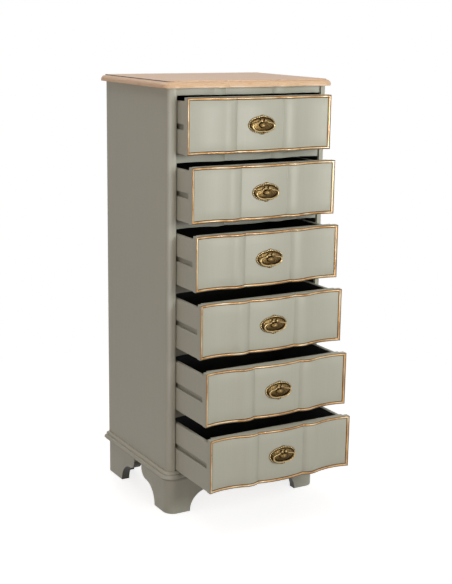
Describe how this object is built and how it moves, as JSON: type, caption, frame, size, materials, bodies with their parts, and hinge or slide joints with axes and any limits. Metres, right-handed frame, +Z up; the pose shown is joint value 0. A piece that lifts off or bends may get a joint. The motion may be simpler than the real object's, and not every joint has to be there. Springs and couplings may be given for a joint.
{
  "type": "tall narrow chest of drawers",
  "caption": "Tall narrow chest with serpentine drawer fronts, gilt beads, oval bail pulls, rounded front posts, a wooden top, a moulded base and bracket feet.",
  "frame": {"origin": "on the floor, in the middle of the object's bounding box with its drawers as they stand open in the picture", "axes": "+Z up, -Y towards the front where the drawers open, +X to the viewer's right when facing the front"},
  "size_m": [0.528, 0.6018, 1.2],
  "materials": {
    "painted_wood": "painted sage grey, satin",
    "oak_top": "pale oak, waxed",
    "plain_wood": "bare softwood",
    "gilt": "gilt, satin",
    "black_lining": "black stain, matt",
    "brass": "antique brass"
  },
  "bodies": {
    "case": {"top_board": "oak_top", "side_panel_left": "painted_wood", "side_panel_right": "painted_wood", "front_post_left": "painted_wood", "front_post_right": "painted_wood", "frieze_rail": "painted_wood", "divider_rails": "painted_wood", "back_panel": "plain_wood", "bottom_board": "plain_wood", "base_front": "painted_wood", "base_left": "painted_wood", "base_right": "painted_wood", "base_rear": "plain_wood", "foot_front_left": "painted_wood", "foot_front_right": "painted_wood", "foot_rear_left": "painted_wood", "foot_rear_right": "painted_wood", "drawer_runners": "black_lining"},
    "drawer_1": {"drawer_1_front": "painted_wood", "drawer_1_box": "painted_wood", "drawer_1_bottom": "black_lining", "drawer_1_pull_plate": "brass", "drawer_1_pull_posts": "brass"},
    "bail_1": {"drawer_1_pull_bail": "brass"},
    "drawer_2": {"drawer_2_front": "painted_wood", "drawer_2_box": "painted_wood", "drawer_2_bottom": "black_lining", "drawer_2_pull_plate": "brass", "drawer_2_pull_posts": "brass"},
    "bail_2": {"drawer_2_pull_bail": "brass"},
    "drawer_3": {"drawer_3_front": "painted_wood", "drawer_3_box": "painted_wood", "drawer_3_bottom": "black_lining", "drawer_3_pull_plate": "brass", "drawer_3_pull_posts": "brass"},
    "bail_3": {"drawer_3_pull_bail": "brass"},
    "drawer_4": {"drawer_4_front": "painted_wood", "drawer_4_box": "painted_wood", "drawer_4_bottom": "black_lining", "drawer_4_pull_plate": "brass", "drawer_4_pull_posts": "brass"},
    "bail_4": {"drawer_4_pull_bail": "brass"},
    "drawer_5": {"drawer_5_front": "painted_wood", "drawer_5_box": "painted_wood", "drawer_5_bottom": "black_lining", "drawer_5_pull_plate": "brass", "drawer_5_pull_posts": "brass"},
    "bail_5": {"drawer_5_pull_bail": "brass"},
    "drawer_6": {"drawer_6_front": "painted_wood", "drawer_6_box": "painted_wood", "drawer_6_bottom": "black_lining", "drawer_6_pull_plate": "brass", "drawer_6_pull_posts": "brass"},
    "bail_6": {"drawer_6_pull_bail": "brass"}
  },
  "joints": [
    {"name": "drawer_1_slide", "type": "slide", "parent": "case", "child": "drawer_1", "axis": [0, -1, 0], "range_m": [-0.063, 0.197]},
    {"name": "bail_1_pivot", "type": "hinge", "parent": "drawer_1", "child": "bail_1", "pos_m": [0, -0.15575, 1.098], "axis": [-1, 0, 0], "range_deg": [0, 100]},
    {"name": "drawer_2_slide", "type": "slide", "parent": "case", "child": "drawer_2", "axis": [0, -1, 0], "range_m": [-0.091, 0.169]},
    {"name": "bail_2_pivot", "type": "hinge", "parent": "drawer_2", "child": "bail_2", "pos_m": [0, -0.18375, 0.922], "axis": [-1, 0, 0], "range_deg": [0, 100]},
    {"name": "drawer_3_slide", "type": "slide", "parent": "case", "child": "drawer_3", "axis": [0, -1, 0], "range_m": [-0.116, 0.144]},
    {"name": "bail_3_pivot", "type": "hinge", "parent": "drawer_3", "child": "bail_3", "pos_m": [0, -0.20875, 0.746], "axis": [-1, 0, 0], "range_deg": [0, 100]},
    {"name": "drawer_4_slide", "type": "slide", "parent": "case", "child": "drawer_4", "axis": [0, -1, 0], "range_m": [-0.144, 0.116]},
    {"name": "bail_4_pivot", "type": "hinge", "parent": "drawer_4", "child": "bail_4", "pos_m": [0, -0.23675, 0.57], "axis": [-1, 0, 0], "range_deg": [0, 100]},
    {"name": "drawer_5_slide", "type": "slide", "parent": "case", "child": "drawer_5", "axis": [0, -1, 0], "range_m": [-0.177, 0.083]},
    {"name": "bail_5_pivot", "type": "hinge", "parent": "drawer_5", "child": "bail_5", "pos_m": [0, -0.26975, 0.394], "axis": [-1, 0, 0], "range_deg": [0, 100]},
    {"name": "drawer_6_slide", "type": "slide", "parent": "case", "child": "drawer_6", "axis": [0, -1, 0], "range_m": [-0.204, 0.056]},
    {"name": "bail_6_pivot", "type": "hinge", "parent": "drawer_6", "child": "bail_6", "pos_m": [0, -0.29675, 0.218], "axis": [-1, 0, 0], "range_deg": [0, 100]}
  ]
}
